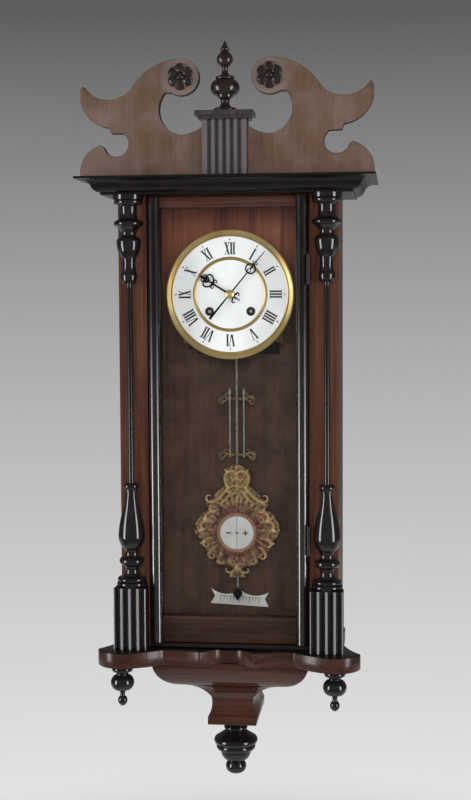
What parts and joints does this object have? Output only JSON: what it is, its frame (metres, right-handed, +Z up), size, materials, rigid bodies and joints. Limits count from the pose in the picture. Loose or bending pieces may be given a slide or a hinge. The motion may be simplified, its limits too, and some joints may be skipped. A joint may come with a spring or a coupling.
{
  "type": "regulator wall clock",
  "caption": "Carved walnut and ebonised wall clock with a glazed door, round dial, brass pendulum, gong strike and turned columns, hung from a keyhole plate.",
  "frame": {"origin": "centre of the hanging hole, on the wall plane", "axes": "+X to the right seen from the front, +Y into the wall, +Z up"},
  "size_m": [0.3934, 0.1877, 1.001],
  "materials": {
    "walnut": "polished",
    "ebonised_wood": "polished",
    "enamel": "gloss",
    "brass": "polished",
    "steel": "satin",
    "blued_steel": "blued",
    "iron": "painted",
    "glass": "clear"
  },
  "bodies": {
    "case": {"backboard": "walnut", "side_panels": "walnut", "front_stiles": "walnut", "cornice": "ebonised_wood", "pediment_board": "walnut", "rosettes": "ebonised_wood", "crest_plinth": "ebonised_wood", "crest_cap": "ebonised_wood", "crest_finial": "ebonised_wood", "column_left": "ebonised_wood", "column_right": "ebonised_wood", "fluted_blocks": "ebonised_wood", "shelf": "walnut", "drop_finials": "ebonised_wood", "corbel": "walnut", "pendant": "ebonised_wood", "hanger_plate": "steel", "hinge_case_leaves": "brass", "movement_bracket": "iron", "bracket_thumb_screws": "brass", "gong_stand": "iron", "gong_coil": "blued_steel", "beat_scale": "enamel", "front_plate": "brass", "back_plate": "brass", "plate_pillars": "brass", "suspension_cock": "brass", "dial_plate": "brass", "dial_enamel": "enamel", "dial_inner_ring": "brass", "bezel": "brass"},
    "door": {"door_stiles": "ebonised_wood", "door_top_rail": "walnut", "door_bottom_rail": "walnut", "door_glass": "glass", "hinge_door_leaves": "brass"},
    "minute_arbor": {"cannon_pinion": "brass", "minute_hand": "blued_steel", "hand_nut": "brass"},
    "minute_wheel": {"minute_wheel": "brass"},
    "hour_arbor": {"hour_wheel": "brass", "hour_hand": "blued_steel"},
    "centre_wheel": {"centre_wheel": "brass"},
    "going_second_wheel": {"going_second_wheel": "brass"},
    "going_barrel": {"going_barrel": "brass"},
    "going_winding_arbor": {"going_winding_arbor": "steel"},
    "third_wheel": {"third_wheel": "brass"},
    "escape_wheel": {"escape_wheel": "brass"},
    "pallet_anchor": {"pallet_anchor": "steel"},
    "pendulum": {"suspension_spring": "steel", "pendulum_rod": "ebonised_wood", "pendulum_frame": "brass", "bob": "brass", "bob_roundel": "enamel", "pendulum_pointer": "brass"},
    "strike_winding_arbor": {"strike_winding_arbor": "steel"},
    "strike_barrel": {"strike_barrel": "brass"},
    "strike_pin_wheel": {"strike_pin_wheel": "brass"},
    "strike_fly": {"strike_fly": "brass"},
    "hammer": {"hammer": "steel"}
  },
  "joints": [
    {"name": "door_hinge", "type": "hinge", "parent": "case", "child": "door", "pos_m": [0.1077, -0.14755, -0.26], "axis": [0, 0, 1], "range_deg": [0, 95]},
    {"name": "minute_arbor_turn", "type": "hinge", "parent": "case", "child": "minute_arbor", "pos_m": [0, -0.07, -0.092], "axis": [0, 1, 0], "continuous": true},
    {"name": "minute_wheel_turn", "type": "hinge", "parent": "case", "child": "minute_wheel", "pos_m": [0.006, -0.07, -0.08161], "axis": [0, 1, 0], "continuous": true},
    {"name": "hour_arbor_turn", "type": "hinge", "parent": "case", "child": "hour_arbor", "pos_m": [0, -0.07, -0.092], "axis": [0, 1, 0], "continuous": true},
    {"name": "third_wheel_turn", "type": "hinge", "parent": "case", "child": "third_wheel", "pos_m": [-0.01414, -0.07, -0.07386], "axis": [0, 1, 0], "continuous": true},
    {"name": "escape_wheel_turn", "type": "hinge", "parent": "case", "child": "escape_wheel", "pos_m": [0, -0.07, -0.062], "axis": [0, 1, 0], "continuous": true},
    {"name": "centre_wheel_turn", "type": "hinge", "parent": "case", "child": "centre_wheel", "pos_m": [0, -0.07, -0.092], "axis": [0, 1, 0], "continuous": true},
    {"name": "going_second_turn", "type": "hinge", "parent": "case", "child": "going_second_wheel", "pos_m": [0.02357, -0.07, -0.08745], "axis": [0, 1, 0], "continuous": true},
    {"name": "going_barrel_turn", "type": "hinge", "parent": "case", "child": "going_barrel", "pos_m": [0.028, -0.07, -0.115], "axis": [0, 1, 0], "continuous": true},
    {"name": "going_winding_turn", "type": "hinge", "parent": "case", "child": "going_winding_arbor", "pos_m": [0.028, -0.07, -0.115], "axis": [0, 1, 0], "continuous": true},
    {"name": "pendulum_swing", "type": "hinge", "parent": "case", "child": "pendulum", "pos_m": [0, -0.04, -0.0408], "axis": [0, 1, 0], "range_deg": [-3, 3]},
    {"name": "anchor_rock", "type": "hinge", "parent": "case", "child": "pallet_anchor", "pos_m": [0, -0.07, -0.0408], "axis": [0, 1, 0], "range_deg": [-3, 3]},
    {"name": "strike_winding_turn", "type": "hinge", "parent": "case", "child": "strike_winding_arbor", "pos_m": [-0.028, -0.07, -0.115], "axis": [0, 1, 0], "continuous": true},
    {"name": "strike_pin_wheel_turn", "type": "hinge", "parent": "case", "child": "strike_pin_wheel", "pos_m": [-0.03284, -0.07, -0.08752], "axis": [0, 1, 0], "continuous": true},
    {"name": "strike_barrel_turn", "type": "hinge", "parent": "case", "child": "strike_barrel", "pos_m": [-0.028, -0.07, -0.115], "axis": [0, 1, 0], "continuous": true},
    {"name": "strike_fly_turn", "type": "hinge", "parent": "case", "child": "strike_fly", "pos_m": [-0.03562, -0.07, -0.07177], "axis": [0, 1, 0], "continuous": true},
    {"name": "hammer_lift", "type": "hinge", "parent": "case", "child": "hammer", "pos_m": [-0.0495, -0.07, -0.092], "axis": [0, 1, 0], "range_deg": [0, 12]}
  ],
  "couplings": [
    {"joint": "minute_wheel_turn", "follows": "minute_arbor_turn", "ratio": -0.33333},
    {"joint": "hour_arbor_turn", "follows": "minute_arbor_turn", "ratio": 0.083333},
    {"joint": "escape_wheel_turn", "follows": "third_wheel_turn", "ratio": -9.25},
    {"joint": "centre_wheel_turn", "follows": "third_wheel_turn", "ratio": -0.095238},
    {"joint": "going_second_turn", "follows": "third_wheel_turn", "ratio": 0.010582},
    {"joint": "going_barrel_turn", "follows": "third_wheel_turn", "ratio": -0.001628},
    {"joint": "anchor_rock", "follows": "pendulum_swing", "ratio": 1},
    {"joint": "strike_fly_turn", "follows": "strike_pin_wheel_turn", "ratio": -7},
    {"joint": "strike_barrel_turn", "follows": "strike_pin_wheel_turn", "ratio": -0.15385}
  ]
}
